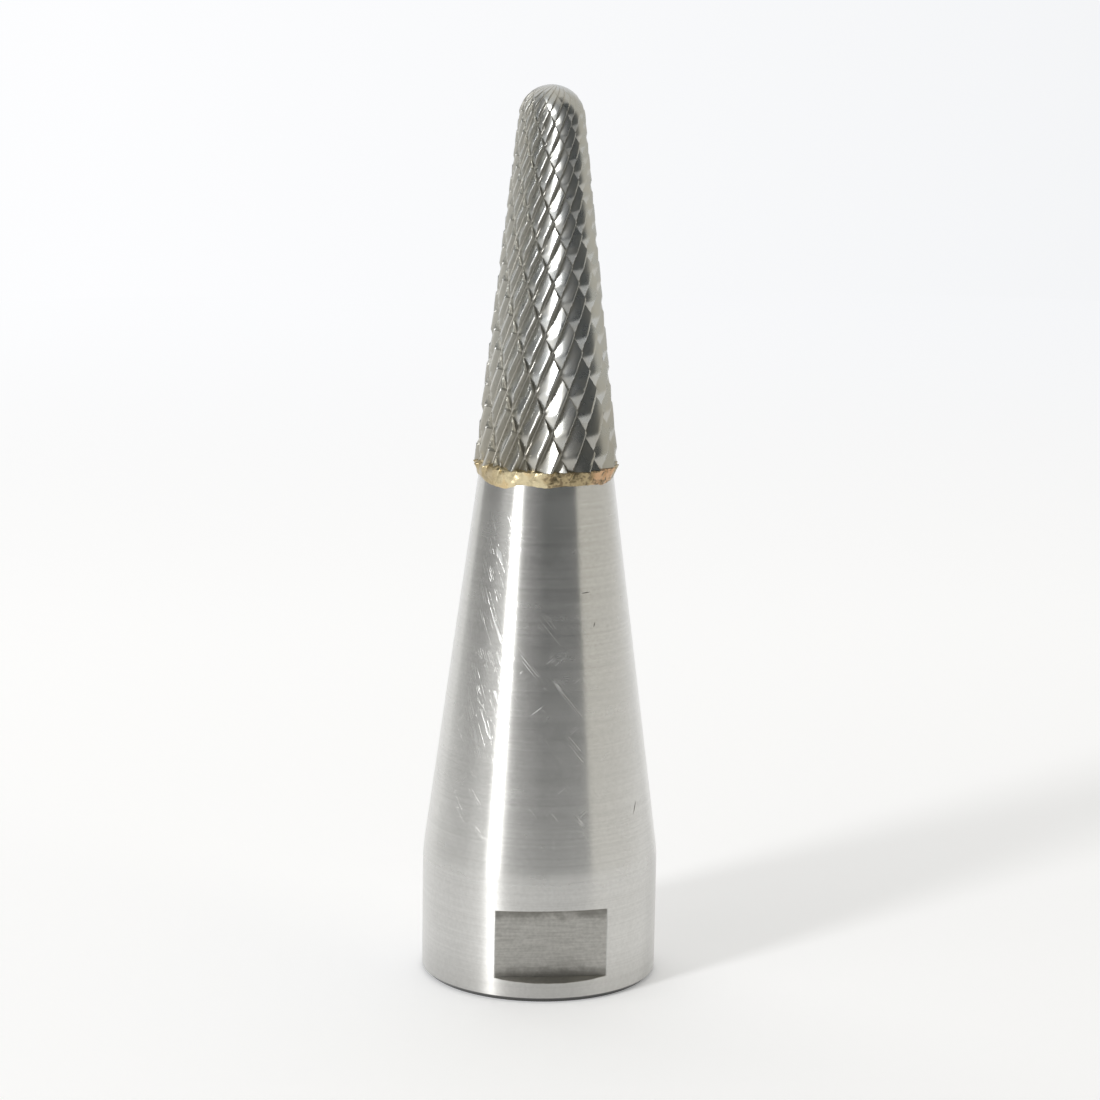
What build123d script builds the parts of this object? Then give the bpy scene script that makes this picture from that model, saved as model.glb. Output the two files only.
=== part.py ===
from build123d import *
from math import asinh, atan, cos, degrees, exp, log, radians, sin, sqrt, tan, tanh
import os

# Conical rotary burr: a double-cut carbide taper head with a ball nose, brazed onto a turned
# steel shank whose base screws onto a machine spindle. It stands on its base, with +Z along
# the axis towards the nose and the origin at the centre of the base. Sizes are millimetres.

# Steel shank
BASE_RADIUS = 10.0
BASE_CHAMFER = 0.4
SHOULDER_Z = 10.55          # where the straight base meets the long cone
SHOULDER_BLEND = 14.0       # radius of the soft turn between the two
STEEL_EDGE_Z = 42.83        # top of the steel that shows below the braze
STEEL_EDGE_RADIUS = 5.69
SEAT_Z = 43.68              # flat seat inside the braze, reached by a chamfer
SEAT_RADIUS = 5.15

# Wrench flats, milled into the front and back of the base
FLATS_ACROSS = 17.6
FLAT_LOW_Z = 1.93
FLAT_HIGH_Z = 7.68
FLAT_WALL_LEAN = 0.22       # how far an end wall leans out over the depth of the flat

# Spindle thread M14 x 2, bored plain at its minor radius
THREAD_RADIUS = 5.92
MOUTH_RADIUS = 7.2          # 45 degree countersink at the mouth
BORE_DEPTH = 20.0
DRILL_POINT = 118           # full angle of the drill's point, degrees

# Carbide head
HEAD_Z = 43.98              # underside of the carbide
HEAD_RADIUS = 6.065         # over the cutting edges, at the underside
TAPER = 6.544               # half angle of the cone, degrees
TIP_Z = 75.3

# Teeth. Right-hand flutes make the cutting edges, and half as many left-hand grooves notch them
FLUTES = 22
BREAKERS = FLUTES // 2
HELIX = 24.8                # angle between a flute and the axis at every height, degrees
FLUTE_DEPTH = 0.114         # share of the local radius
LAND = 0.07                 # width of a cutting edge, share of the pitch
RAKE = 0.17                 # width of the steep front of a tooth, share of the pitch
GULLET = 0.08               # width of the gullet's floor, share of the pitch
ROOTING = 0.055             # how far a tooth runs on into the core, share of its own height
EDGE_START = 5.6            # direction of a cutting edge at the underside, degrees from +X
BREAKER_START = 19.6        # direction of a chip breaker at the underside
BREAKER_DEPTH = 0.97        # share of the flute's depth
BREAKER_STEEP = 0.06        # width of its steep side, share of the pitch
BREAKER_BROAD = 0.86        # width of its broad side
BREAKER_CLEAR = 1.3         # how far its cutter stands out, times its depth
TEETH_TOP = 62              # where the teeth end on the ball, degrees up from its equator
SECTIONS = 16               # steps from the underside to there that a flute is drawn in

# Braze
BEAD_BULGE = 0.2            # how far the bead swells between the steel's edge and the carbide
BEAD_TOP_RADIUS = 5.9

PITCH = 360 / FLUTES
CORE_RADIUS = HEAD_RADIUS * (1 - FLUTE_DEPTH)


# A cone of the given base radius, ending in a ball that touches it all round. Every such cone
# shares the apex of the head's own cone and ends at the same tip.
def cone_angle(base_radius):
    return atan(tan(radians(TAPER)) * base_radius / HEAD_RADIUS)


def ball_radius(base_radius):
    angle = cone_angle(base_radius)
    radius_at_tip = base_radius - tan(angle) * (TIP_Z - HEAD_Z)
    return cos(angle) * radius_at_tip / (1 - sin(angle))


def radius_at(base_radius, z):
    angle = cone_angle(base_radius)
    ball = ball_radius(base_radius)
    height = z - (TIP_Z - ball)
    if height < ball * sin(angle):
        return base_radius - tan(angle) * (z - HEAD_Z)
    return sqrt(ball**2 - height**2)


BALL = ball_radius(HEAD_RADIUS)
BALL_Z = TIP_Z - BALL
TANGENT_RADIUS = BALL * cos(radians(TAPER))
CONE_SWEEP = log(HEAD_RADIUS / TANGENT_RADIUS) / sin(radians(TAPER))


# How far a flute has turned about the axis at height z, in degrees. It crosses every line
# towards the tip at the same angle, so on the cone it is a logarithmic spiral.
def turn_at(z):
    radius = radius_at(HEAD_RADIUS, z)
    if radius > TANGENT_RADIUS:
        sweep = log(HEAD_RADIUS / radius) / sin(radians(TAPER))
    else:
        sweep = CONE_SWEEP + asinh((z - BALL_Z) / radius) - asinh(tan(radians(TAPER)))
    return degrees(sweep * tan(radians(HELIX)))


# The height at which a flute has turned so far
def height_at(turn):
    sweep = radians(turn) / tan(radians(HELIX))
    if sweep < CONE_SWEEP:
        radius = HEAD_RADIUS * exp(-sweep * sin(radians(TAPER)))
        return HEAD_Z + (HEAD_RADIUS - radius) / tan(radians(TAPER))
    return BALL_Z + BALL * tanh(sweep - CONE_SWEEP + asinh(tan(radians(TAPER))))


# Heights of the sections that a flute is drawn through, each turned as far from the last
def section_heights(low_z):
    low_turn = turn_at(low_z)
    high_turn = turn_at(BALL_Z + BALL * sin(radians(TEETH_TOP)))
    step = (high_turn - low_turn) / SECTIONS
    return [height_at(low_turn + step * index) for index in range(SECTIONS + 1)]


def polar(radius, angle):
    return Vector(radius * cos(radians(angle)), radius * sin(radians(angle)))


# Section of one tooth at height z: a narrow land, a long relief behind it and a steep rake
# in front. Both flanks run on a little below the core's surface.
def tooth_outline(z, start):
    angle = start + turn_at(z)
    crest = radius_at(HEAD_RADIUS, z)
    root = radius_at(CORE_RADIUS, z)
    edge = polar(crest, angle)
    heel = polar(crest, angle - LAND * PITCH)
    relief_foot = polar(root, angle - (1 - RAKE - GULLET) * PITCH)
    rake_foot = polar(root, angle + RAKE * PITCH)
    return [
        edge,
        heel,
        relief_foot + (relief_foot - heel) * ROOTING,
        rake_foot + (rake_foot - edge) * ROOTING,
    ]


# Section of a chip-breaker groove at height z: a lopsided V that opens outwards
def breaker_outline(z):
    angle = -turn_at(z)
    crest = radius_at(HEAD_RADIUS, z)
    depth = (crest - radius_at(CORE_RADIUS, z)) * BREAKER_DEPTH
    mouth = crest + depth * (BREAKER_CLEAR - 1)
    return [
        polar(crest - depth, angle),
        polar(mouth, angle + BREAKER_BROAD * PITCH * BREAKER_CLEAR),
        polar(mouth, angle - BREAKER_STEEP * PITCH * BREAKER_CLEAR),
    ]


os.makedirs("parts", exist_ok=True)

# The shank is one turned piece: straight base, blended cone, and a chamfered seat on top
with BuildPart() as steel_shank:
    with BuildSketch(Plane.XZ):
        with BuildLine():
            side = FilletPolyline(
                (BASE_RADIUS, 0),
                (BASE_RADIUS, SHOULDER_Z),
                (STEEL_EDGE_RADIUS, STEEL_EDGE_Z),
                radius=SHOULDER_BLEND,
            )
            Polyline(side @ 1, (SEAT_RADIUS, SEAT_Z), (0, SEAT_Z), (0, 0), side @ 0)
        make_face()
    revolve(axis=Axis.Z)
    base_rim = steel_shank.edges().filter_by(GeomType.CIRCLE).group_by(Axis.Z)[0]
    chamfer(base_rim, BASE_CHAMFER)

    # Blind spindle hole with a countersunk mouth and the drill's point at its end
    with BuildSketch(Plane.XZ):
        with BuildLine():
            Polyline(
                (0, 0),
                (MOUTH_RADIUS, 0),
                (THREAD_RADIUS, MOUTH_RADIUS - THREAD_RADIUS),
                (THREAD_RADIUS, BORE_DEPTH),
                (0, BORE_DEPTH + THREAD_RADIUS / tan(radians(DRILL_POINT / 2))),
                close=True,
            )
        make_face()
    revolve(axis=Axis.Z, mode=Mode.SUBTRACT)

    # Two wrench flats, each between end walls that lean out a little
    flat_depth = BASE_RADIUS - FLATS_ACROSS / 2
    wall_angle = degrees(atan(FLAT_WALL_LEAN / flat_depth))
    for side_plane in (Plane.XZ, Plane.XZ.rotated((0, 0, 180))):
        with BuildSketch(side_plane.offset(FLATS_ACROSS / 2)):
            with Locations((0, (FLAT_LOW_Z + FLAT_HIGH_Z) / 2)):
                Rectangle(2 * BASE_RADIUS, FLAT_HIGH_Z - FLAT_LOW_Z)
        extrude(amount=flat_depth, taper=-wall_angle, mode=Mode.SUBTRACT)

steel_shank.part.label = "steel_shank"
export_step(steel_shank.part, "parts/steel_shank.step")

# The braze is a thin layer between the seat and the carbide, with a bead over the chamfer
with BuildPart() as braze_joint:
    with BuildSketch(Plane.XZ):
        with BuildLine():
            middle = (
                (STEEL_EDGE_RADIUS + BEAD_TOP_RADIUS) / 2 + BEAD_BULGE,
                (STEEL_EDGE_Z + HEAD_Z) / 2,
            )
            ThreePointArc((STEEL_EDGE_RADIUS, STEEL_EDGE_Z), middle, (BEAD_TOP_RADIUS, HEAD_Z))
            Polyline(
                (BEAD_TOP_RADIUS, HEAD_Z),
                (0, HEAD_Z),
                (0, SEAT_Z),
                (SEAT_RADIUS, SEAT_Z),
                (STEEL_EDGE_RADIUS, STEEL_EDGE_Z),
            )
        make_face()
    revolve(axis=Axis.Z)

braze_joint.part.label = "braze_joint"
export_step(braze_joint.part, "parts/braze_joint.step")

# Cutter of one chip-breaker groove, reaching below the underside so that it cuts right through
with BuildPart() as breaker:
    for z in section_heights(HEAD_Z - 0.6):
        with BuildSketch(Plane.XY.offset(z)):
            with BuildLine():
                Polyline(breaker_outline(z), close=True)
            make_face()
    loft()

# With two flutes to each breaker the teeth come in two kinds, notched at different heights
tooth_pair = []
for place in range(2):
    with BuildPart() as tooth:
        for z in section_heights(HEAD_Z):
            with BuildSketch(Plane.XY.offset(z)):
                with BuildLine():
                    Polyline(tooth_outline(z, EDGE_START + place * PITCH), close=True)
                make_face()
        loft()
        with PolarLocations(0, BREAKERS, start_angle=BREAKER_START):
            add(breaker.part, mode=Mode.SUBTRACT)
    tooth_pair.append(tooth.part.solid())

# The teeth never touch each other, so the whole ring joins the core as one compound
tooth_ring = Compound(
    [
        tooth_solid.rotate(Axis.Z, repeat * 360 / BREAKERS)
        for tooth_solid in tooth_pair
        for repeat in range(BREAKERS)
    ]
)

with BuildPart() as head_core:
    with BuildSketch(Plane.XZ):
        with BuildLine():
            core_angle = cone_angle(CORE_RADIUS)
            core_ball = ball_radius(CORE_RADIUS)
            tangent_z = TIP_Z - core_ball * (1 - sin(core_angle))
            tangent_point = (core_ball * cos(core_angle), tangent_z)
            Polyline(tangent_point, (CORE_RADIUS, HEAD_Z), (0, HEAD_Z), (0, TIP_Z))
            TangentArc(tangent_point, (0, TIP_Z), tangent=(-sin(core_angle), cos(core_angle)))
        make_face()
    revolve(axis=Axis.Z)

with BuildPart() as carbide_head:
    add(head_core.part.fuse(tooth_ring))

carbide_head.part.label = "carbide_head"
export_step(carbide_head.part, "parts/carbide_head.step")
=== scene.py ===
"""A double-cut carbide taper burr on its turned steel shank, standing on a white table."""

from math import acos, asinh, atan, cos, degrees, log, pi, radians, sin, tan

import bmesh
import bpy
import numpy as np
from mathutils import Matrix, Vector, noise


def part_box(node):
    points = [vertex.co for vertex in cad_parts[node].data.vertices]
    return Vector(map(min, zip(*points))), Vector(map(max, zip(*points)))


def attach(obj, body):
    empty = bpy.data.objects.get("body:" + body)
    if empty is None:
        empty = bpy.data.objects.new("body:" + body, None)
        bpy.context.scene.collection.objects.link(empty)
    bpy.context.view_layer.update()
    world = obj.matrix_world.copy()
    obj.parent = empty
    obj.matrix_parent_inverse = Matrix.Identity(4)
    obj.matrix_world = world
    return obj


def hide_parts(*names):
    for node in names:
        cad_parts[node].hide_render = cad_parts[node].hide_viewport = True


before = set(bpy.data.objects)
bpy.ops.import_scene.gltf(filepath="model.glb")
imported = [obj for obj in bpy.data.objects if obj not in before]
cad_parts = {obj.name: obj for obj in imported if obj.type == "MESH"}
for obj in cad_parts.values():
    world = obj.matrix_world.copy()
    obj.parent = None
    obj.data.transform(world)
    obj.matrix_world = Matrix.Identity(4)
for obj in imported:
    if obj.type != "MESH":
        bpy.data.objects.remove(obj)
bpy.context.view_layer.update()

# Sizes here are millimetres, and Blender's are metres
MM = 0.001
TOUCHING = 1e-7             # metres. Points closer than this are one

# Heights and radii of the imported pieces
HEAD_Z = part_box("carbide_head")[0].z / MM
TIP_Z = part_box("carbide_head")[1].z / MM
STEEL_EDGE_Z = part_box("braze_joint")[0].z / MM
SEAT_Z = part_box("steel_shank")[1].z / MM
BASE_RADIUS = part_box("steel_shank")[1].x / MM

# Steel shank
BASE_CHAMFER = 0.4
SHOULDER_Z = 10.55          # where the straight base meets the long cone
SHOULDER_BLEND = 14.0       # radius of the soft turn between the two
STEEL_EDGE_RADIUS = 5.69
SEAT_RADIUS = 5.15
BLEND_STEPS = 8
CONE_STEPS = 40
COLUMN_STEP = 1.5           # degrees between the shank's columns

# Wrench flats
FLATS_ACROSS = 17.6
FLAT_LOW_Z = 1.93
FLAT_HIGH_Z = 7.68
FLAT_WALL_LEAN = 0.22       # how far an end wall leans out over the depth of the flat
FLAT_DIRECTIONS = (-90, 90)
FLAT_HALF_ANGLE = degrees(acos(FLATS_ACROSS / 2 / BASE_RADIUS))
FLAT_RINGS = 12
RINGS_BELOW = (0.9, 1.4)    # heights of plain rings under the flats
RING_ABOVE = 8.6            # and over them
SIDE_COLUMNS = (-0.25, 0, 0.25)  # columns round each side of a flat, in degrees off it
EDGE_BREAK = 0.05           # how far the edges round a flat are broken
EDGE_LUMP = 0.5             # size of the waves in its upper and lower edge
BREAK_AT = 0.96             # how far out along an end wall its edge is broken
# Both end walls of a flat: height, which way they lie from its floor, how ragged, and a seed
FLAT_ENDS = ((FLAT_LOW_Z, -1, 0.03, 11), (FLAT_HIGH_Z, 1, 0.012, 12))

# Spindle thread M14 x 2
THREAD_PITCH = 2.0
THREAD_MINOR = 5.92
THREAD_MAJOR = 7.0
THREAD_ROOT = 1 / 8         # width of the flat at the major radius, share of the pitch
THREAD_CREST = 1 / 4        # width of the flat at the minor radius
THREAD_TOP = 18.5           # where the tap ran out
THREAD_RUNOUT = 1.5         # how far the thread fades before that
THREAD_STEPS = 14           # rings to one turn
MOUTH_RADIUS = 7.2
BORE_DEPTH = 20.0
DRILL_POINT = 118           # full angle of the drill's point, degrees

# Carbide head
HEAD_RADIUS = 6.065         # over the cutting edges, at the underside
TAPER = radians(6.544)      # half angle of the cone
FLUTES = 22
BREAKERS = FLUTES // 2
HELIX = radians(24.8)       # angle between a flute and the axis at every height
FLUTE_DEPTH = 0.114         # share of the local radius
EDGE_START = 5.6            # direction of a cutting edge at the underside, degrees from +X
BREAKER_START = 19.6        # direction of a chip breaker at the underside
BREAKER_DEPTH = 0.97        # share of the flute's depth
BREAKER_SPREAD = (0.92, 1.06)  # how that varies from one to the next
TEETH_TOP = 76              # where the teeth end on the ball, degrees up from its equator
NOSE_FADE = 0.6             # share of their depth that they would lose by the tip
TIP_RINGS = (0.75, 0.5, 0.25, 0)  # rings that close the tip, shares of the radius there
GRID_MARGIN = 0.3           # how far the grid runs past both ends before it is cut, in pitches

PITCH = 360 / FLUTES
CORE_RADIUS = HEAD_RADIUS * (1 - FLUTE_DEPTH)

# Wear of the cutting edges, in shares of the flute's depth
EDGE_WEAR = 0.05            # the most that a whole edge has worn
EDGE_SHARE = 0.06           # how deep a point may lie and still be part of an edge
CHIP_ODDS = 0.07            # share of the points of an edge that are chipped
CHIP_DEPTHS = (0.027, 0.09)  # depths of the shallowest and the deepest chip

# Places across one tooth, in pitches behind its edge, and the share of the flute's depth there
TOOTH_PROFILE = (
    (0.0, 0.0), (0.035, 0.0), (0.11, 0.1), (0.19, 0.212), (0.28, 0.333),
    (0.37, 0.46), (0.46, 0.587), (0.55, 0.714), (0.64, 0.84), (0.71, 0.93),
    (0.76, 0.985), (0.8, 1.0), (0.84, 0.95), (0.9, 0.58), (0.96, 0.21),
)
RAKE_FROM = 0.81            # where its unground side starts, in the same pitches
# Places across one chip breaker in the same pitches, and the share of its own depth there. Past
# its broad side the teeth stand whole as far as the next one, two pitches on
BREAKER_PROFILE = (
    (-0.06, 0.0), (-0.03, 0.5), (0.0, 1.0), (0.04, 0.955), (0.13, 0.849),
    (0.24, 0.721), (0.36, 0.581), (0.49, 0.43), (0.62, 0.279), (0.74, 0.14),
    (0.86, 0.0), (0.92, 0.0), (1.02, 0.0), (1.15, 0.0), (1.28, 0.0),
    (1.42, 0.0), (1.56, 0.0), (1.7, 0.0), (1.84, 0.0),
)

# Bead of braze
BEAD_COLUMN = 0.75          # degrees between the bead's columns
BEAD_ROWS = 26
LOW_EDGE = 0.08             # mean height of its lower edge over the steel's edge
HIGH_EDGE = 0.1             # mean height of its upper edge over the carbide's underside
HIGH_EDGE_TILT = 0.025      # how much lower that lies for each millimetre along X
HIGH_EDGE_LEAST = 0.02      # the least height of that edge
FOOT_STAND = 0.03           # how far its foot stands out from the steel
FOOT_SUNK = 0.03            # how far its lowest ring lies under the steel's surface
WAIST_RADIUS = 5.93         # its radius at the height of the carbide's underside
DRAWN_IN = 0.42             # how much smaller it gets above that
TOE = 0.22                  # share of its height that its rounded toe takes
TOP_INSIDE = 0.15           # how far inside the core of the head its top ring ends
LAYER_INSIDE = 0.4          # how far inside it meets the layer under the carbide
TOOTH_TRACE = 0.36          # how deep the ends of the teeth show in it
TRACE_FROM = 2 / 7          # how far up towards the carbide they start to show
# Lumps along its lower edge, along its upper edge and all over it: height, size and a seed
LOW_EDGE_LUMPS = ((0.1, 1.3, 1), (0.06, 0.45, 2))
HIGH_EDGE_LUMPS = ((0.16, 1.1, 3), (0.12, 0.4, 4))
BEAD_LUMPS = ((0.07, 0.95, 5), (0.03, 0.33, 6), (0.012, 0.12, 7))
# Runs of braze below the steel's edge: direction and half width in degrees, and drop
BRAZE_RUNS = (
    (-152, 14, 0.3), (-133, 12, 0.4), (-97, 13, 0.22), (-62, 12, 0.1), (-41, 9, 0.22),
    (12, 14, 0.2), (48, 10, 0.3), (85, 18, 0.18), (128, 12, 0.28), (166, 10, 0.16),
)


def link(name, mesh, sharp_angle):
    """A shaded object in the scene, with its edges sharp past an angle in degrees."""
    mesh.shade_smooth()
    mesh.set_sharp_from_angle(angle=radians(sharp_angle))
    piece = bpy.data.objects.new(name, mesh)
    bpy.context.scene.collection.objects.link(piece)
    return piece


def around(radius, angle, height):
    """Points at a radius, an angle in degrees and a height."""
    radius, turn, height = np.broadcast_arrays(radius, np.radians(angle), height)
    return np.stack([radius * np.cos(turn), radius * np.sin(turn), height], -1)


def ring_mesh(name, rings):
    """A closed mesh through rings of equally many points. The first and the last ring lie on
    the axis and are closed to one point each."""
    rings = np.asarray(rings)
    rows, columns = rings.shape[:2]
    points = np.concatenate([rings[0, :1], rings[1:-1].reshape(-1, 3), rings[-1, :1]]) * MM
    last = len(points) - 1
    faces = []
    for column in range(columns):
        after = (column + 1) % columns
        faces.append((0, 1 + after, 1 + column))
        for row in range(rows - 3):
            low, high = 1 + row * columns, 1 + (row + 1) * columns
            faces.append((low + column, low + after, high + after, high + column))
        low = 1 + (rows - 3) * columns
        faces.append((low + column, low + after, last))
    mesh = bpy.data.meshes.new(name)
    mesh.from_pydata(points.tolist(), [], faces)
    return mesh


def wrinkle(points, size, seed):
    """Smooth noise from -1 to 1 at points, with lumps of a size."""
    flat = points.reshape(-1, 3) / size
    shift = Vector((seed * 7.3, seed * 3.1, seed * 5.7))
    values = [noise.noise(Vector(point) + shift) for point in flat.tolist()]
    return np.array(values).reshape(points.shape[:-1])


def lumps_at(points, lumps):
    """Sum of smooth noises at points, each with a height, a size and a seed."""
    return sum(height * wrinkle(points, size, seed) for height, size, seed in lumps)


# Carbide head

def head_surface(base_radius, z):
    """Radius at heights z of a cone that ends in a ball at the tip."""
    angle = atan(tan(TAPER) * base_radius / HEAD_RADIUS)
    ball = cos(angle) * (base_radius - tan(angle) * (TIP_Z - HEAD_Z)) / (1 - sin(angle))
    above = z - (TIP_Z - ball)
    on_cone = base_radius - tan(angle) * (z - HEAD_Z)
    on_ball = np.sqrt(np.maximum(ball**2 - above**2, 0))
    return np.where(above < ball * sin(angle), on_cone, on_ball)


BALL = cos(TAPER) * (HEAD_RADIUS - tan(TAPER) * (TIP_Z - HEAD_Z)) / (1 - sin(TAPER))
BALL_Z = TIP_Z - BALL
CONE_SWEEP = log(HEAD_RADIUS / (BALL * cos(TAPER))) / sin(TAPER)
BALL_SWEEP = asinh(tan(radians(TEETH_TOP))) - asinh(tan(TAPER))
TOP_TURN = degrees((CONE_SWEEP + BALL_SWEEP) * tan(HELIX))


def flute_height(turn):
    """Height at which a flute has turned so many degrees about the axis."""
    sweep = np.radians(turn) / tan(HELIX)
    radius = HEAD_RADIUS * np.exp(-sweep * sin(TAPER))
    on_cone = HEAD_Z + (HEAD_RADIUS - radius) / tan(TAPER)
    on_ball = BALL_Z + BALL * np.tanh(sweep - CONE_SWEEP + asinh(tan(TAPER)))
    return np.where(sweep < CONE_SWEEP, on_cone, on_ball)


def close_rim(shape, plane_z, rings):
    """Closes the open rim at a height with rings, each a share of the rim's radius and a height."""

    def in_plane(edge):
        return all(abs(vert.co.z - plane_z * MM) < TOUCHING for vert in edge.verts)

    rim = [edge for edge in shape.edges if edge.is_boundary and in_plane(edge)]
    last = 1
    for share, height in rings:
        made = bmesh.ops.extrude_edge_only(shape, edges=rim)["geom"]
        edges = [item for item in made if isinstance(item, bmesh.types.BMEdge)]
        rim = [edge for edge in edges if edge.is_boundary]
        for vert in {vert for edge in rim for vert in edge.verts}:
            vert.co.xy = vert.co.xy * (share / last)
            vert.co.z = height * MM
        last = share


def tooth_lines(random):
    """The grid's lines along the flutes: their directions at the underside, the share of depth
    along each, and whether each is on a tooth's unground side and on its cutting edge."""
    places, share = np.array(TOOTH_PROFILE)[::-1].T
    lines = EDGE_START + (np.arange(1, FLUTES + 1)[:, None] - places).ravel() * PITCH
    wear = np.repeat(random.uniform(0, EDGE_WEAR, FLUTES), len(places))
    share_along = np.maximum(np.tile(share, FLUTES), wear)
    return lines, share_along, np.tile(places > RAKE_FROM, FLUTES), np.tile(share == 0, FLUTES)


def breaker_lines(random):
    """The grid's lines along the chip breakers: their directions at the underside, the share of
    depth along each, and whether each is on a breaker's steep side."""
    places, share = np.array(BREAKER_PROFILE).T
    lines = BREAKER_START + (2 * np.arange(BREAKERS)[:, None] + places).ravel() * PITCH
    spread = random.uniform(*BREAKER_SPREAD, BREAKERS)[:, None]
    steep = (places > places[0]) & (places <= 0)
    return lines, (spread * share).ravel() * BREAKER_DEPTH, np.tile(steep, BREAKERS)


def head_grid(random):
    """Points and faces of a grid that follows the flutes one way and the chip breakers the other,
    so both kinds of edge are true lines of the mesh. For the material it also gives each point's
    flute line, how far along it and how deep the point is, and whether it is on a dull side."""
    teeth, tooth_share, tooth_dull, cutting = tooth_lines(random)
    breakers, breaker_share, breaker_dull = breaker_lines(random)

    # A tooth crosses the breakers over more than one turn, so they are repeated
    rows = len(breakers)
    turns = range(-1, 3)
    breakers = np.concatenate([breakers + 360 * turn for turn in turns])
    breaker_share = np.tile(breaker_share, len(turns))
    breaker_dull = np.tile(breaker_dull, len(turns))

    # A flute and a breaker line cross where each has turned half the angle between them
    turn = (breakers - teeth[:, None]) / 2
    angle = (breakers + teeth[:, None]) / 2
    kept = (turn > -GRID_MARGIN * PITCH) & (turn < TOP_TURN + GRID_MARGIN * PITCH)
    z = flute_height(turn)
    in_breaker = breaker_share > tooth_share[:, None]
    dull = np.where(in_breaker, breaker_dull, tooth_dull[:, None])
    share = np.maximum(tooth_share[:, None], breaker_share)

    # A few points of the cutting edges are chipped
    chips = random.uniform(0, 1, share.shape)
    chipped = (share < EDGE_SHARE) & (chips > 1 - CHIP_ODDS)
    share = np.where(chipped, share + np.interp(chips, (1 - CHIP_ODDS, 1), CHIP_DEPTHS), share)

    crest = head_surface(HEAD_RADIUS, z)
    core = head_surface(CORE_RADIUS, z)
    depth = (crest - core) * (1 - NOSE_FADE * np.clip((z - BALL_Z) / BALL, 0, 1))
    points = around(crest - share * depth, angle, z)

    # The material takes the depth as nothing all along the cutting edges
    on_edge = cutting[:, None] & ~in_breaker
    grain = np.stack([angle - turn, turn, np.where(on_edge, 0, share)], -1)

    # The last line of the last tooth is joined to the first line, a whole turn on
    number = np.full(turn.shape, -1)
    number[kept] = np.arange(kept.sum())
    beside = np.full(turn.shape, -1)
    beside[:-1] = number[1:]
    beside[-1, rows:] = number[0, :-rows]
    corners = np.stack([number[:, :-1], beside[:, :-1], beside[:, 1:], number[:, 1:]], -1)
    faces = corners[(corners >= 0).all(-1)]
    return points[kept], faces, grain[kept], dull[kept]


def close_head(mesh):
    """Cuts both ends of the head flat, and closes them with its underside and its tip."""
    top_z = float(flute_height(TOP_TURN))
    shape = bmesh.new()
    shape.from_mesh(mesh)
    for plane_z, side in ((HEAD_Z, -1), (top_z, 1)):
        bmesh.ops.bisect_plane(
            shape,
            geom=shape.verts[:] + shape.edges[:] + shape.faces[:],
            dist=1e-9,
            plane_co=(0, 0, plane_z * MM),
            plane_no=(0, 0, side),
            clear_outer=True,
        )
    close_rim(shape, HEAD_Z, [(0, HEAD_Z)])
    rim_radius = BALL * cos(radians(TEETH_TOP))
    tip = [(part, BALL_Z + (BALL**2 - (part * rim_radius) ** 2) ** 0.5) for part in TIP_RINGS]
    close_rim(shape, top_z, tip)
    bmesh.ops.remove_doubles(shape, verts=shape.verts, dist=TOUCHING)
    bmesh.ops.recalc_face_normals(shape, faces=shape.faces)
    shape.to_mesh(mesh)
    shape.free()


def round_edges(mesh):
    """Shades the head smooth across its cutting edges, so that they look a little round."""
    grain = np.empty(3 * len(mesh.vertices))
    mesh.attributes["grain"].data.foreach_get("vector", grain)
    ends = np.empty(2 * len(mesh.edges), int)
    mesh.edges.foreach_get("vertices", ends)
    sharp = np.empty(len(mesh.edges), bool)
    mesh.attributes["sharp_edge"].data.foreach_get("value", sharp)
    on_edge = (grain[2::3] == 0)[ends].reshape(-1, 2).all(1)
    mesh.attributes["sharp_edge"].data.foreach_set("value", sharp & ~on_edge)


def make_head():
    """The toothed head, with what its material needs stored on its points."""
    points, faces, grain, dull = head_grid(np.random.default_rng(seed=7))
    mesh = bpy.data.meshes.new("carbide_teeth")
    mesh.from_pydata((points * MM).tolist(), [], faces.tolist())
    mesh.attributes.new("grain", "FLOAT_VECTOR", "POINT").data.foreach_set("vector", grain.ravel())
    dull = dull.astype(float)
    mesh.attributes.new("dull", "FLOAT", "POINT").data.foreach_set("value", dull)
    close_head(mesh)
    piece = link("carbide_teeth", mesh, sharp_angle=15)
    round_edges(mesh)
    return piece


# Braze

def steel_radius(z):
    """Radius of the steel at heights z, on the long cone and on the seat's chamfer."""
    cone = (BASE_RADIUS - STEEL_EDGE_RADIUS) / (STEEL_EDGE_Z - SHOULDER_Z)
    on_cone = STEEL_EDGE_RADIUS + cone * (STEEL_EDGE_Z - z)
    chamfer = (STEEL_EDGE_RADIUS - SEAT_RADIUS) / (SEAT_Z - STEEL_EDGE_Z)
    return np.where(z < STEEL_EDGE_Z, on_cone, STEEL_EDGE_RADIUS - chamfer * (z - STEEL_EDGE_Z))


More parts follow.
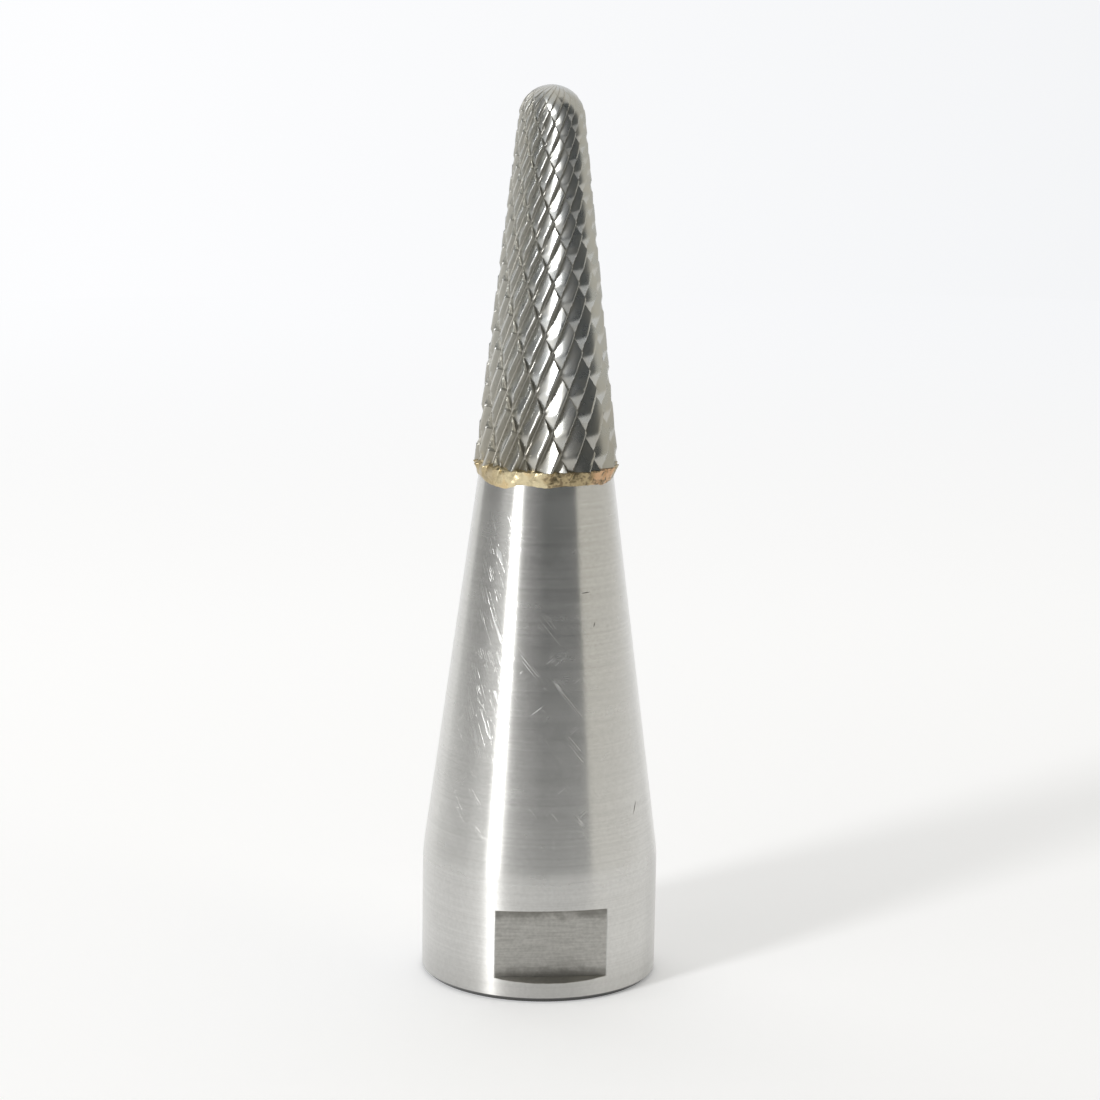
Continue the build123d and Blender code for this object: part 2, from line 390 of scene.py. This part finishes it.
def make_braze():
    """The irregular bead of braze, with its layer under the carbide."""
    angle = np.arange(0, 360, BEAD_COLUMN)
    rows = np.linspace(0, 1, BEAD_ROWS)[:, None]
    ring = around(HEAD_RADIUS, angle, HEAD_Z)
    low_z = STEEL_EDGE_Z + LOW_EDGE + lumps_at(ring, LOW_EDGE_LUMPS)
    for direction, width, drop in BRAZE_RUNS:
        off = (angle - direction + 180) % 360 - 180
        low_z = low_z - drop * np.exp(-((off / width) ** 2))
    high_z = HEAD_Z + HIGH_EDGE + lumps_at(ring, HIGH_EDGE_LUMPS) - HIGH_EDGE_TILT * ring[:, 0]
    high_z = np.maximum(high_z, HEAD_Z + HIGH_EDGE_LEAST)

    z = low_z + (high_z - low_z) * rows
    under = np.clip((z - low_z) / (HEAD_Z - low_z), 0, 1)
    over = np.clip((z - HEAD_Z) / (high_z - HEAD_Z), 0, 1)
    foot = steel_radius(low_z)
    body = foot + FOOT_STAND + (WAIST_RADIUS - foot) * under - DRAWN_IN * over
    lumps = lumps_at(around(body, angle, z), BEAD_LUMPS)

    # The bead still shows the ends of the teeth it was drawn up between
    twist = degrees(tan(HELIX) / HEAD_RADIUS)
    behind = (EDGE_START - angle + twist * (z - HEAD_Z)) / PITCH % 1
    tooth = np.array(TOOTH_PROFILE)
    ridges = 1 - np.interp(behind, tooth[:, 0], tooth[:, 1], period=1)
    lumps += TOOTH_TRACE * (ridges - 0.5) * np.interp(under, (TRACE_FROM, 1), (0, 1))

    # Its toe rolls down onto the steel, and its first and last rings are hidden
    toe = np.where(rows < TOE, np.sqrt(np.clip(1 - (1 - rows / TOE) ** 2, 0, 1)), 1)
    radius = steel_radius(z) * (1 - toe) + (body + lumps) * toe
    radius[0] = foot - FOOT_SUNK
    radius[-1] = CORE_RADIUS - TOP_INSIDE
    rings = [
        around(0, angle, SEAT_Z),
        around(SEAT_RADIUS, angle, SEAT_Z),
        *around(radius, angle, z),
        around(CORE_RADIUS - LAYER_INSIDE, angle, HEAD_Z),
        around(0, angle, HEAD_Z),
    ]
    return link("braze_bead", ring_mesh("braze_bead", rings), sharp_angle=50)


# Steel shank

def shank_angles():
    """Directions of the shank's columns, with the sides of both flats among them."""
    sides = [
        direction + side * (FLAT_HALF_ANGLE + off)
        for direction in FLAT_DIRECTIONS
        for side in (-1, 1)
        for off in SIDE_COLUMNS
    ]
    even = np.arange(-180, 180, COLUMN_STEP)
    clear = [turn for turn in even if min(abs(turn - side) for side in sides) > COLUMN_STEP / 3]
    return np.array(sorted(clear + sides))


def base_rings(angle):
    """Rings of the straight base, which dip into both flats."""
    off = np.min([np.abs((angle - flat + 180) % 360 - 180) for flat in FLAT_DIRECTIONS], 0)
    inside = off < FLAT_HALF_ANGLE - 0.01
    face = BASE_RADIUS * np.cos(np.radians(off))
    depth = np.where(inside, face - FLATS_ACROSS / 2, 0)
    floor = np.where(inside, FLATS_ACROSS / 2 / np.cos(np.radians(off)), BASE_RADIUS)
    lean = FLAT_WALL_LEAN * depth / (BASE_RADIUS - FLATS_ACROSS / 2)
    nibble = np.minimum(EDGE_BREAK, depth / 2)
    broken = np.where(inside, (face - nibble) / np.cos(np.radians(off)), BASE_RADIUS)

    rings = [around(BASE_RADIUS, angle, z) for z in (BASE_CHAMFER, *RINGS_BELOW)]
    for end, way, ragged, seed in FLAT_ENDS:
        rough = ragged * wrinkle(around(BASE_RADIUS, angle, seed), EDGE_LUMP, seed) * inside
        wall = [
            around(BASE_RADIUS, angle, end + way * (lean + 2 * EDGE_BREAK) + rough),
            around(BASE_RADIUS, angle, end + way * (lean + EDGE_BREAK) + rough),
            around(broken, angle, end + way * (lean * BREAK_AT + EDGE_BREAK / 2) + rough),
            around(floor, angle, np.full_like(angle, end)),
        ]
        if way < 0:
            rings += wall
            between = np.linspace(FLAT_LOW_Z, FLAT_HIGH_Z, FLAT_RINGS)[1:-1]
            rings += [around(floor, angle, z) for z in between]
        else:
            rings += wall[::-1]
    return rings + [around(BASE_RADIUS, angle, RING_ABOVE)]


def shank_outline():
    """Radius and height from the shoulder's blend to the seat."""
    cone = atan((BASE_RADIUS - STEEL_EDGE_RADIUS) / (STEEL_EDGE_Z - SHOULDER_Z))
    tangent = SHOULDER_BLEND * tan(cone / 2)
    blend = [
        (
            BASE_RADIUS - SHOULDER_BLEND * (1 - cos(cone * step / BLEND_STEPS)),
            SHOULDER_Z - tangent + SHOULDER_BLEND * sin(cone * step / BLEND_STEPS),
        )
        for step in range(BLEND_STEPS + 1)
    ]
    start = blend[-1]
    long_cone = [
        (
            start[0] + (STEEL_EDGE_RADIUS - start[0]) * step / CONE_STEPS,
            start[1] + (STEEL_EDGE_Z - start[1]) * step / CONE_STEPS,
        )
        for step in range(1, CONE_STEPS + 1)
    ]
    return blend + long_cone + [(SEAT_RADIUS, SEAT_Z)]


def thread_rings(angle):
    """Rings up the threaded spindle hole, from its mouth to the drill's point."""
    rings = [around(MOUTH_RADIUS, angle, 0)]
    step = THREAD_PITCH / THREAD_STEPS
    for z in np.arange(step, BORE_DEPTH - step / 2, step):
        phase = (z / THREAD_PITCH - angle / 360) % 1
        off_root = np.abs(phase - 0.5)
        groove = np.interp(off_root, (THREAD_ROOT / 2, (1 - THREAD_CREST) / 2), (1, 0))
        groove = groove * np.clip((THREAD_TOP - z) / THREAD_RUNOUT, 0, 1)
        thread = THREAD_MINOR + (THREAD_MAJOR - THREAD_MINOR) * groove
        rings.append(around(np.maximum(thread, MOUTH_RADIUS - z), angle, z))
    rings.append(around(THREAD_MINOR, angle, BORE_DEPTH))
    point_z = BORE_DEPTH + THREAD_MINOR / tan(radians(DRILL_POINT / 2))
    rings.append(around(0, angle, point_z))
    return rings


def make_shank():
    """The turned shank with its flats, and its spindle hole with a real thread."""
    angle = shank_angles()
    rings = [
        *thread_rings(angle)[::-1],
        around(BASE_RADIUS - BASE_CHAMFER, angle, 0),
        *base_rings(angle),
        *[around(radius, angle, z) for radius, z in shank_outline()],
        around(0, angle, SEAT_Z),
    ]
    return link("threaded_shank", ring_mesh("threaded_shank", rings), sharp_angle=22)


# Materials

def colour(red, green, blue):
    return (red, green, blue, 1)


STEEL_DARK = colour(0.585, 0.58, 0.56)
STEEL_LIGHT = colour(0.695, 0.69, 0.67)
SCRATCH_GLINT = colour(0.92, 0.92, 0.91)
NICK_DARK = colour(0.16, 0.15, 0.13)
MILLED_DARK = colour(0.54, 0.53, 0.495)
MILLED_LIGHT = colour(0.76, 0.745, 0.705)
# Painted shade for the upper and lower ends of the flats
FLAT_END_SHADE = colour(0.17, 0.16, 0.14)
FOOT_SHADE = colour(0.3, 0.29, 0.27)
CHAMFER_SHADE = colour(0.12, 0.12, 0.115)

CARBIDE_COOL = colour(0.58, 0.595, 0.59)
CARBIDE_WARM = colour(0.605, 0.6, 0.565)
CARBIDE_DULL = colour(0.47, 0.46, 0.42)
CARBIDE_HEATED = colour(0.4, 0.37, 0.3)
FLUTE_SHADE = colour(0.52, 0.5, 0.45)
HEATED_HEIGHT = 10          # how far the heat of the brazing has tinted the carbide

BRAZE_PALE = colour(0.72, 0.62, 0.4)
BRAZE_GOLD = colour(0.68, 0.53, 0.3)
BRAZE_BROWN = colour(0.5, 0.41, 0.25)
BRAZE_DARK = colour(0.42, 0.34, 0.2)
BRAZE_COPPER = colour(0.68, 0.42, 0.25)
BRAZE_PIT = colour(0.2, 0.15, 0.08)

# Families of scratches on the cone: slope to the horizontal in degrees; spacing, straightness and
# length; how sparse, how staggered and how thick they are; and the heights and the directions
# from the front in degrees between which they lie
SCRATCHES = (
    (-68, 0.32, 9.0, 1.5, 0.49, 0.45, 0.042, (19, 41), (-60, -24)),
    (-50, 0.22, 20.0, 5.0, 0.6, 0.15, 0.01, (12, 34), (-200, 200)),
    (38, 0.25, 20.0, 4.0, 0.62, 0.15, 0.01, (14, 32), (-200, 200)),
)
# How far they take to fade in at the bottom and the top, and in radians at the left and the right
SCRATCH_FADES = (6.0, 3.0, 0.3, 0.13)
# Small dark nicks: direction from the front in degrees, height, half length, half width, and slope
# in degrees
NICKS = ((23.0, 34.1, 0.42, 0.05, 3), (50.8, 15.6, 0.55, 0.06, 66), (28.5, 31.4, 0.2, 0.05, 70))


class Nodes:
    """Short ways to build the nodes of a material or a world."""

    def __init__(self, owner, shader="Principled BSDF"):
        owner.use_nodes = True
        self.owner = owner
        self.tree = owner.node_tree
        self.shader = self.tree.nodes[shader]

    def add(self, kind, inputs=None, **settings):
        node = self.tree.nodes.new(kind)
        for name, value in settings.items():
            setattr(node, name, value)
        for name, value in (inputs or {}).items():
            self.put(node.inputs[name], value)
        return node

    def put(self, socket, value):
        if isinstance(value, bpy.types.NodeSocket):
            self.tree.links.new(value, socket)
        else:
            socket.default_value = value

    def math(self, operation, *values):
        node = self.add("ShaderNodeMath", operation=operation)
        for socket, value in zip(node.inputs, values):
            self.put(socket, value)
        return node.outputs[0]

    def chain(self, operation, first, *others):
        for other in others:
            first = self.math(operation, first, other)
        return first

    def plus(self, *values):
        return self.chain("ADD", *values)

    def minus(self, first, second):
        return self.math("SUBTRACT", first, second)

    def times(self, *values):
        return self.chain("MULTIPLY", *values)

    def largest(self, *values):
        return self.chain("MAXIMUM", *values)

    def noise(self, vector, scale, detail, roughness=0.5):
        inputs = {"Vector": vector, "Scale": scale, "Detail": detail, "Roughness": roughness}
        return self.add("ShaderNodeTexNoise", inputs).outputs["Fac"]

    def range(self, value, low, high, to_low=0.0, to_high=1.0):
        """A value carried smoothly from one range to another, and held at the ends."""
        node = self.add("ShaderNodeMapRange", interpolation_type="SMOOTHSTEP")
        for socket, number in zip(node.inputs, (value, low, high, to_low, to_high)):
            self.put(socket, number)
        return node.outputs[0]

    def stretch(self, noise, to_low=0.0, to_high=1.0):
        """A noise carried from its usual spread to a range."""
        return self.range(noise, 0.3, 0.7, to_low, to_high)

    def mix(self, factor, first, second):
        node = self.add("ShaderNodeMix", data_type="RGBA")
        self.put(node.inputs["Factor"], factor)
        colours = [socket for socket in node.inputs if socket.type == "RGBA"]
        for socket, shade in zip(colours, (first, second)):
            self.put(socket, shade)
        return next(socket for socket in node.outputs if socket.type == "RGBA")

    def vector(self, x, y, z):
        return self.add("ShaderNodeCombineXYZ", {"X": x, "Y": y, "Z": z}).outputs[0]

    def split(self, vector):
        return self.add("ShaderNodeSeparateXYZ", {"Vector": vector}).outputs

    def length(self, vector):
        node = self.add("ShaderNodeVectorMath", operation="LENGTH")
        self.put(node.inputs[0], vector)
        return node.outputs["Value"]

    def attribute(self, name, output):
        return self.add("ShaderNodeAttribute", attribute_name=name).outputs[output]

    def place(self):
        """Object coordinates in millimetres."""
        coordinates = self.add("ShaderNodeTexCoord").outputs["Object"]
        node = self.add("ShaderNodeVectorMath", operation="SCALE")
        self.put(node.inputs["Vector"], coordinates)
        self.put(node.inputs["Scale"], 1 / MM)
        return node.outputs[0]

    def bump(self, height, depth, strength, normal=None):
        inputs = {"Height": height, "Distance": depth * MM, "Strength": strength}
        node = self.add("ShaderNodeBump", inputs)
        if normal is not None:
            self.put(node.inputs["Normal"], normal)
        return node.outputs[0]

    def brushed(self, anisotropy):
        """A metal whose gloss is drawn out along the axis, a quarter turn from its tangent."""
        self.shader.inputs["Metallic"].default_value = 1
        self.shader.inputs["Anisotropic"].default_value = anisotropy
        self.shader.inputs["Anisotropic Rotation"].default_value = 0.25
        tangent = self.add("ShaderNodeTangent", direction_type="RADIAL", axis="Z")
        self.put(self.shader.inputs["Tangent"], tangent.outputs[0])


def slanted(nodes, across, z, slope, wide, long, centre_across=0.0, centre_z=0.0):
    """Coordinates along and across a line on the unrolled surface, over its own size."""
    slope = radians(slope)
    side = nodes.minus(across, centre_across)
    up = nodes.minus(z, centre_z)
    along = nodes.plus(nodes.times(side, cos(slope) / long), nodes.times(up, sin(slope) / long))
    over = nodes.minus(nodes.times(up, cos(slope) / wide), nodes.times(side, sin(slope) / wide))
    return along, over


def scratches(nodes, turned, across, z):
    """Where the steel is scratched: the thin places where a stretched noise passes its middle
    value, inside the patches that another noise leaves."""
    fade_low, fade_high, fade_left, fade_right = SCRATCH_FADES
    scratched = 0.0
    for number, family in enumerate(SCRATCHES):
        slope, wide, straight, long, sparse, stagger, thick, heights, directions = family
        along, over = slanted(nodes, across, z, slope, wide, straight)
        lines = nodes.noise(nodes.vector(along, over, 10.0 * number), scale=1, detail=0)
        line = nodes.range(nodes.math("ABSOLUTE", nodes.minus(lines, 0.5)), thick, thick / 10)
        along = nodes.times(along, straight / long)
        patches = nodes.vector(along, nodes.times(over, stagger), 5.0 + number)
        patches = nodes.noise(patches, scale=1.3, detail=2)
        here = nodes.range(patches, sparse, sparse + 0.05)
        low, high = heights
        left, right = (radians(direction) for direction in directions)
        inside = nodes.times(
            nodes.range(z, low, low + fade_low),
            nodes.range(z, high, high - fade_high),
            nodes.range(turned, left, left + fade_left),
            nodes.range(turned, right, right - fade_right),
        )
        scratched = nodes.largest(scratched, nodes.times(line, here, inside))
    return scratched


def nicks(nodes, across, z):
    """Where the steel has its small dark nicks."""
    nicked = 0.0
    for direction, height, half_long, half_wide, slope in NICKS:
        centre = radians(direction) * float(steel_radius(height))
        along, over = slanted(nodes, across, z, slope, half_wide, half_long, centre, height)
        off = nodes.length(nodes.vector(along, over, 0.0))
        nicked = nodes.largest(nicked, nodes.range(off, 1.2, 0.6))
    return nicked


def milled_flats(nodes, radius, z):
    """Where the base is milled: there it lies inside its turned surface."""
    dipped = nodes.range(radius, BASE_RADIUS - 0.03, BASE_RADIUS - 0.06)
    above = nodes.math("GREATER_THAN", z, BASE_CHAMFER + 0.1)
    below = nodes.math("LESS_THAN", z, FLAT_HIGH_Z + 0.62)
    return nodes.times(dipped, below, above)


def shaded_flat_ends(nodes, place, z):
    """The upper and the lower end of a flat, with an uneven outline, where shade is painted."""
    ragged = nodes.minus(nodes.noise(place, scale=1.2, detail=3), 0.5)
    uneven = nodes.plus(z, nodes.times(ragged, 1.5))
    return nodes.plus(
        nodes.range(uneven, FLAT_HIGH_Z - 1.0, FLAT_HIGH_Z - 0.1),
        nodes.range(uneven, FLAT_LOW_Z + 1.1, FLAT_LOW_Z),
    )


def steel_material():
    """Turned and polished steel: marks that run round it, scratches, nicks and milled flats."""
    nodes = Nodes(bpy.data.materials.new("turned_steel"))
    place = nodes.place()
    x, y, z = nodes.split(place)
    radius = nodes.length(nodes.vector(x, y, 0.0))
    turned = nodes.math("ARCTAN2", x, nodes.times(y, -1.0))
    across = nodes.times(turned, radius)
    scratched = scratches(nodes, turned, across, z)
    nicked = nicks(nodes, across, z)
    milled = milled_flats(nodes, radius, z)

    def rings(fineness, detail):
        """Noise in rings round the axis that hardly changes along them."""
        spot = nodes.vector(nodes.times(x, 0.02), nodes.times(y, 0.02), nodes.times(z, fineness))
        return nodes.noise(spot, scale=1, detail=detail, roughness=0.6)

    # Turning marks
    marks = rings(fineness=5.0, detail=4)
    broad = rings(fineness=1.1, detail=3)
    smears = nodes.noise(place, scale=0.35, detail=3)
    mottle = nodes.noise(place, scale=3.5, detail=3)
    light = nodes.plus(
        nodes.stretch(marks, 0.0, 0.45),
        nodes.stretch(broad, 0.0, 0.15),
        nodes.stretch(mottle, 0.0, 0.4),
    )
    base = nodes.mix(light, STEEL_DARK, STEEL_LIGHT)
    # The scratches are real marks, painted lighter as a painted highlight where they catch the
    # softbox
    base = nodes.mix(nodes.times(scratched, 0.85), base, SCRATCH_GLINT)
    # The small nicks are painted dark
    base = nodes.mix(nodes.times(nicked, 0.85), base, NICK_DARK)

    # The flats show the straight marks of milling, and painted shade at their upper and lower ends
    cuts = nodes.vector(nodes.times(x, 0.35), 0.0, nodes.times(z, 4.5))
    cuts = nodes.noise(cuts, scale=1, detail=4, roughness=0.6)
    floor = nodes.plus(nodes.stretch(cuts, 0.0, 0.6), nodes.stretch(mottle, 0.0, 0.4))
    base = nodes.mix(milled, base, nodes.mix(floor, MILLED_DARK, MILLED_LIGHT))
    end_shade = nodes.times(shaded_flat_ends(nodes, place, z), milled, 0.62)
    base = nodes.mix(end_shade, base, FLAT_END_SHADE)

    # Painted shade makes the foot of the base a little darker
    base = nodes.mix(nodes.range(z, 4.5, 0.6, 0.0, 0.22), base, FOOT_SHADE)
    # The bottom chamfer is painted dark: painted shade where the base meets the table
    chamfer = nodes.range(z, BASE_CHAMFER + 0.06, BASE_CHAMFER - 0.06)
    nodes.put(nodes.shader.inputs["Base Color"], nodes.mix(chamfer, base, CHAMFER_SHADE))

    # The straight base is a little duller than the cone, and the flats and scratches more so
    marred = nodes.largest(scratched, nicked)
    rough = nodes.plus(
        nodes.stretch(smears, 0.24, 0.27),
        nodes.stretch(broad, -0.01, 0.01),
        nodes.range(z, SHOULDER_Z + 1.0, SHOULDER_Z - 2.0, 0.0, 0.045),
        nodes.times(milled, 0.16),
        nodes.times(marred, 0.36),
    )
    nodes.put(nodes.shader.inputs["Roughness"], rough)
    normal = nodes.bump(marks, depth=0.0008, strength=0.18)
    normal = nodes.bump(nodes.minus(1.0, marred), depth=0.012, strength=0.8, normal=normal)
    normal = nodes.bump(nodes.times(cuts, milled), depth=0.012, strength=0.35, normal=normal)
    nodes.put(nodes.shader.inputs["Normal"], normal)
    nodes.brushed(0.87)
    return nodes.owner


def carbide_material():
    """Ground carbide: fine grinding lines along the flutes, and painted shade deep in them."""
    nodes = Nodes(bpy.data.materials.new("ground_carbide"))
    place = nodes.place()
    line, along, share = nodes.split(nodes.attribute("grain", "Vector"))
    dull = nodes.attribute("dull", "Fac")
    patches = nodes.noise(place, scale=0.9, detail=3)
    base = nodes.mix(nodes.stretch(patches), CARBIDE_COOL, CARBIDE_WARM)
    # Painted shade, darker deep in the flutes
    base = nodes.mix(nodes.range(share, 0.7, 1.0, 0.0, 0.6), base, FLUTE_SHADE)
    base = nodes.mix(dull, base, CARBIDE_DULL)
    heated = nodes.range(nodes.split(place)["Z"], HEAD_Z + HEATED_HEIGHT, HEAD_Z, 0.0, 0.4)
    nodes.put(nodes.shader.inputs["Base Color"], nodes.mix(heated, base, CARBIDE_HEATED))
    rough = nodes.plus(nodes.stretch(patches, 0.26, 0.32), nodes.times(dull, 0.25))
    nodes.put(nodes.shader.inputs["Roughness"], rough)
    lines = nodes.vector(nodes.times(line, 2.2), nodes.times(along, 0.15), 0.0)
    lines = nodes.noise(lines, scale=1, detail=3, roughness=0.6)
    nodes.put(nodes.shader.inputs["Normal"], nodes.bump(lines, depth=0.002, strength=0.2))
    nodes.brushed(0.5)
    return nodes.owner


def braze_material():
    """Gold braze, pale and brown at the left, and darker, pitted and coppery at the right."""
    nodes = Nodes(bpy.data.materials.new("gold_braze"))
    place = nodes.place()
    x, y, _ = nodes.split(place)
    patches = nodes.noise(place, scale=0.55, detail=3)
    fine = nodes.noise(place, scale=5, detail=3, roughness=0.6)
    bright = nodes.mix(nodes.range(patches, 0.5, 0.62), BRAZE_PALE, BRAZE_GOLD)
    bright = nodes.mix(nodes.range(x, -4.0, -5.2), bright, BRAZE_BROWN)
    # Darker towards the right
    darker_right = nodes.range(nodes.plus(x, nodes.stretch(patches, -0.8, 0.8)), -1.4, 0.6)
    gold = nodes.mix(darker_right, bright, BRAZE_DARK)
    copper = nodes.range(nodes.noise(place, scale=0.9, detail=2), 0.35, 0.5)
    copper = nodes.times(copper, nodes.range(x, 2.9, 3.7), nodes.range(y, -2.0, -3.0))
    gold = nodes.mix(nodes.times(copper, 0.8), gold, BRAZE_COPPER)
    rotten = nodes.range(darker_right, 0.0, 1.0, 0.25, 1.0)
    pits = nodes.noise(place, scale=2.4, detail=4, roughness=0.6)
    pits = nodes.times(nodes.range(pits, 0.47, 0.62), rotten)
    nodes.put(nodes.shader.inputs["Base Color"], nodes.mix(pits, gold, BRAZE_PIT))
    nodes.put(nodes.shader.inputs["Roughness"], nodes.stretch(fine, 0.25, 0.45))
    nodes.put(nodes.shader.inputs["Metallic"], nodes.range(pits, 0.0, 1.0, 1.0, 0.5))
    nodes.put(nodes.shader.inputs["Normal"], nodes.bump(fine, depth=0.012, strength=0.5))
    return nodes.owner


# Table, light and camera

PHOTO_SIDE = 1100           # pixels
PHOTO_FOCAL = 3125.5        # pixels
SENSOR = 36
CAMERA_AZIMUTH = radians(-6.95)
CAMERA_DISTANCE = 258.3     # from the burr's axis
CAMERA_Z = 86.22
CAMERA_YAW = 0.0017         # radians, as the two below
CAMERA_DOWN = 0.1902
CAMERA_ROLL = 0.017

SOFTBOX_WIDE = 100
SOFTBOX_TALL = 400
SOFTBOX_DISTANCE = 700      # from the middle of the burr
SOFTBOX_AZIMUTH = radians(-46)  # from the camera
SOFTBOX_RISE = radians(18)
SOFTBOX_RADIANCE = 20
BURR_MIDDLE = 35

TABLE_CENTRE = (80, 170)
TABLE_RADIUS = 370
TABLE_WHITE = colour(0.95, 0.952, 0.965)
TABLE_GLOW = colour(0.98, 0.99, 1)
TABLE_LIFT = (0.21, 0.3)    # how much brighter the table is seen than lit, at the front and back
LIFT_Y = (-60.0, 160.0)     # from where to where that changes
FADE_Y = (60.0, 510.0)      # from where to where the table fades into the backdrop
BACKDROP_X = (-126.0, 258.0)  # from where to where the backdrop's colour changes
BACKDROP_LEFT = (0.985, 0.988, 1.0)
BACKDROP_RIGHT = (0.912, 0.92, 0.935)
BACKDROP_MIDDLE = (0.948, 0.954, 0.967)

# What the steel reflects round the horizon: azimuth from the camera in degrees, and colour
SURROUNDINGS = (
    (-180, BACKDROP_MIDDLE),
    (-171, BACKDROP_LEFT),
    (-129, (0.8, 0.8, 0.78)),
    (-122, (0.26, 0.26, 0.25)),
    (-97, (0.23, 0.23, 0.225)),
    (-82, (0.32, 0.32, 0.315)),
    (-66, (0.72, 0.72, 0.71)),
    (-40, (0.54, 0.54, 0.53)),
    (-18, (0.24, 0.24, 0.24)),
    (2, (0.085, 0.09, 0.09)),
    (50, (0.085, 0.09, 0.09)),
    (54, (0.63, 0.61, 0.545)),
    (120, (0.64, 0.62, 0.565)),
    (171, BACKDROP_RIGHT),
    (180, BACKDROP_MIDDLE),
)
CEILING = (0.74, 0.72, 0.67)
CEILING_FROM = 50           # degrees up, where the surroundings start to turn into it
CEILING_TO = 75             # and where they have


def make_camera():
    data = bpy.data.cameras.new("camera")
    data.sensor_width = SENSOR
    data.lens = SENSOR * PHOTO_FOCAL / PHOTO_SIDE
    data.clip_start = 0.01
    data.clip_end = 20
    camera = bpy.data.objects.new("camera", data)
    bpy.context.scene.collection.objects.link(camera)
    turn = Matrix.Rotation(CAMERA_AZIMUTH, 4, "Z")
    place = turn @ Vector((0, -CAMERA_DISTANCE, CAMERA_Z)) * MM
    aim = (
        Matrix.Rotation(CAMERA_AZIMUTH - CAMERA_YAW, 4, "Z")
        @ Matrix.Rotation(radians(90) - CAMERA_DOWN, 4, "X")
        @ Matrix.Rotation(CAMERA_ROLL, 4, "Z")
    )
    camera.matrix_world = Matrix.Translation(place) @ aim
    bpy.context.scene.camera = camera


def make_world():
    """A studio whose colour changes round the horizon and is plain overhead."""
    world = bpy.data.worlds.new("studio")
    bpy.context.scene.world = world
    nodes = Nodes(world, "Background")
    x, y, z = nodes.split(nodes.add("ShaderNodeTexCoord").outputs["Generated"])
    azimuth = nodes.minus(nodes.math("ARCTAN2", x, nodes.times(y, -1.0)), CAMERA_AZIMUTH)
    turned = nodes.math("WRAP", azimuth, radians(180), radians(-180))
    share = nodes.math("DIVIDE", nodes.plus(turned, radians(180)), radians(360))
    ramp = nodes.add("ShaderNodeValToRGB", {"Fac": share})
    stops = ramp.color_ramp.elements
    while len(stops) < len(SURROUNDINGS):
        stops.new(0.5)
    for stop, (degree, shade) in zip(stops, SURROUNDINGS):
        stop.position = (degree + 180) / 360
        stop.color = colour(*shade)
    overhead = nodes.range(z, sin(radians(CEILING_FROM)), sin(radians(CEILING_TO)))
    seen = nodes.mix(overhead, ramp.outputs["Color"], colour(*CEILING))
    nodes.put(nodes.shader.inputs["Color"], seen)


def make_light():
    """A tall narrow softbox at the front left."""
    data = bpy.data.lights.new("softbox", "AREA")
    data.shape = "RECTANGLE"
    data.size = SOFTBOX_WIDE * MM
    data.size_y = SOFTBOX_TALL * MM
    data.energy = SOFTBOX_RADIANCE * pi * data.size * data.size_y
    light = bpy.data.objects.new("softbox", data)
    bpy.context.scene.collection.objects.link(light)
    azimuth = CAMERA_AZIMUTH + SOFTBOX_AZIMUTH
    level = cos(SOFTBOX_RISE)
    back = Vector((sin(azimuth) * level, -cos(azimuth) * level, sin(SOFTBOX_RISE)))
    light.location = (Vector((0, 0, BURR_MIDDLE)) + back * SOFTBOX_DISTANCE) * MM
    light.rotation_mode = "QUATERNION"
    light.rotation_quaternion = (-back).to_track_quat("-Z", "Y")


def make_table():
    """A plain pale table that fades into the white beyond it."""
    shape = bmesh.new()
    bmesh.ops.create_circle(shape, cap_ends=True, segments=96, radius=TABLE_RADIUS * MM)
    bmesh.ops.translate(shape, verts=shape.verts, vec=Vector((*TABLE_CENTRE, 0)) * MM)
    mesh = bpy.data.meshes.new("table")
    shape.to_mesh(mesh)
    shape.free()
    table = bpy.data.objects.new("table", mesh)
    bpy.context.scene.collection.objects.link(table)

    nodes = Nodes(bpy.data.materials.new("white_table"))
    nodes.shader.inputs["Roughness"].default_value = 0.75
    nodes.shader.inputs["Specular IOR Level"].default_value = 0.2
    nodes.shader.inputs["Base Color"].default_value = TABLE_WHITE
    nodes.shader.inputs["Emission Color"].default_value = TABLE_GLOW
    x, y, _ = nodes.split(nodes.place())
    path = nodes.add("ShaderNodeLightPath").outputs
    seen = nodes.largest(path["Is Camera Ray"], path["Is Glossy Ray"], path["Is Transmission Ray"])
    lift = nodes.times(seen, nodes.range(y, *LIFT_Y, *TABLE_LIFT))
    nodes.put(nodes.shader.inputs["Emission Strength"], lift)
    to_right = nodes.range(x, *BACKDROP_X)
    backdrop = nodes.mix(to_right, colour(*BACKDROP_LEFT), colour(*BACKDROP_RIGHT))
    glow = nodes.add("ShaderNodeEmission", {"Color": backdrop, "Strength": 1.0})
    blend = nodes.add("ShaderNodeMixShader", {"Fac": nodes.range(y, *FADE_Y)})
    nodes.tree.links.new(nodes.shader.outputs[0], blend.inputs[1])
    nodes.tree.links.new(glow.outputs[0], blend.inputs[2])
    nodes.tree.links.new(blend.outputs[0], nodes.tree.nodes["Material Output"].inputs["Surface"])
    table.data.materials.append(nodes.owner)


make_camera()
make_world()
make_light()
make_table()

for make, node, slot, material in (
    (make_head, "carbide_head", "carbide", carbide_material()),
    (make_braze, "braze_joint", "braze", braze_material()),
    (make_shank, "steel_shank", "steel", steel_material()),
):
    piece = make()
    piece.data.materials.append(material)
    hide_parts(node)
    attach(piece, "root")

bpy.context.scene.view_settings.view_transform = "Standard"
